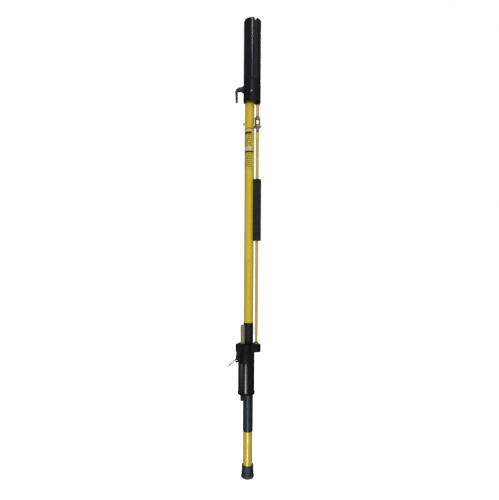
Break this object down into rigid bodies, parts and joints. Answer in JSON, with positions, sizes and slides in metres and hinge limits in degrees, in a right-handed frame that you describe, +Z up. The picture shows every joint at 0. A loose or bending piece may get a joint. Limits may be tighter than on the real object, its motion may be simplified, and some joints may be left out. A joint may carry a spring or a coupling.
{
  "type": "rod-operated clamp stick",
  "caption": "Insulated yellow pole with a notched black head that hides a clamp hook, pushed out by an outside rod from a sliding handle with a thumb release.",
  "frame": {"origin": "middle of the foot cap's flat bottom face, on the pole's axis", "axes": "+Z up along the pole towards the notched head; -Y is the front, where the rod and the guide bar run; +X is towards the operating rod's side and the hanging hook is on -X"},
  "size_m": [0.1115, 0.0667, 1.5665],
  "materials": {
    "pole_fibreglass": "glossy filament-wound fibreglass, yellow",
    "rod_fibreglass": "pultruded fibreglass rod, amber",
    "core_foam": "rigid foam",
    "plug_nylon": "moulded nylon",
    "head_black": "glossy moulded black",
    "socket_black": "satin moulded black",
    "bracket_black": "matt moulded black",
    "handle_black": "polished moulded black",
    "track_sleeve_black": "matt shrunk sleeve",
    "grip_vinyl": "dipped vinyl, blue-black",
    "foot_rubber": "moulded rubber",
    "grip_foam": "closed-cell foam rubber",
    "bronze": "cast bronze, brown in the recesses",
    "stud_brass": "turned brass",
    "steel": "plated steel",
    "bar_metal": "anodised, dull tan grey",
    "lever_metal": "formed strip, darkened towards the tip",
    "label_film": "printed clear film"
  },
  "bodies": {
    "pole": {"pole_tube": "pole_fibreglass", "foam_core": "core_foam", "tube_top_plug": "plug_nylon", "tube_bottom_plug": "plug_nylon", "foot_cap": "foot_rubber", "grip_sleeve": "grip_vinyl", "track_sleeve": "track_sleeve_black", "label_upper": "label_film", "label_lower": "label_film", "tube_stud": "stud_brass", "guide_bar": "bar_metal", "bar_saddle": "bar_metal", "saddle_screw_lower": "steel", "saddle_screw_upper": "steel", "head_socket": "socket_black", "rod_guide_bush": "socket_black", "head_barrel": "head_black", "hanger_hook": "head_black", "barrel_screw_1": "steel", "barrel_screw_2": "steel", "barrel_screw_3": "steel", "hook_screw_lower": "steel", "hook_screw_upper": "steel", "head_bolt": "steel", "head_nut": "steel"},
    "slider": {"handle_shell_left": "handle_black", "handle_shell_right": "handle_black", "handle_end_ring": "bracket_black", "handle_bush": "plug_nylon", "slide_bracket": "bracket_black", "handle_screw_1": "steel", "handle_screw_2": "steel", "handle_screw_3": "steel", "handle_screw_4": "steel", "operating_rod_lower": "rod_fibreglass", "rod_lock_nut": "bronze", "rod_grip": "grip_foam", "rod_ferrule": "pole_fibreglass", "clevis_fork": "bronze", "clevis_eye": "bronze", "clevis_pin": "steel", "clevis_clip": "steel", "operating_rod_upper": "rod_fibreglass", "fork_lock_nut": "bronze", "carrier_nut": "steel", "hook_carrier": "plug_nylon", "clamp_hook": "bronze", "hook_nut": "bronze", "lever_pin": "steel", "lever_clip": "steel", "lock_spring": "steel"},
    "release_lever": {"release_lever": "lever_metal"},
    "lock_plate": {"lock_plate": "steel"}
  },
  "joints": [
    {"name": "handle_slide", "type": "slide", "parent": "pole", "child": "slider", "axis": [0, 0, 1], "range_m": [0, 0.038]},
    {"name": "release_lever_pivot", "type": "hinge", "parent": "slider", "child": "release_lever", "pos_m": [-0.0395, -0.014, 0.4085], "axis": [0, -1, 0], "range_deg": [0, 25], "stiffness_Nm_per_rad": 0.4, "springref_deg": -17.19},
    {"name": "lock_plate_tilt", "type": "hinge", "parent": "slider", "child": "lock_plate", "pos_m": [-0.0103, -0.014, 0.4167], "axis": [0, 1, 0], "range_deg": [0, 4], "deforming": ["lock_spring"]}
  ],
  "couplings": [
    {"joint": "lock_plate_tilt", "follows": "release_lever_pivot", "ratio": 0.16}
  ]
}
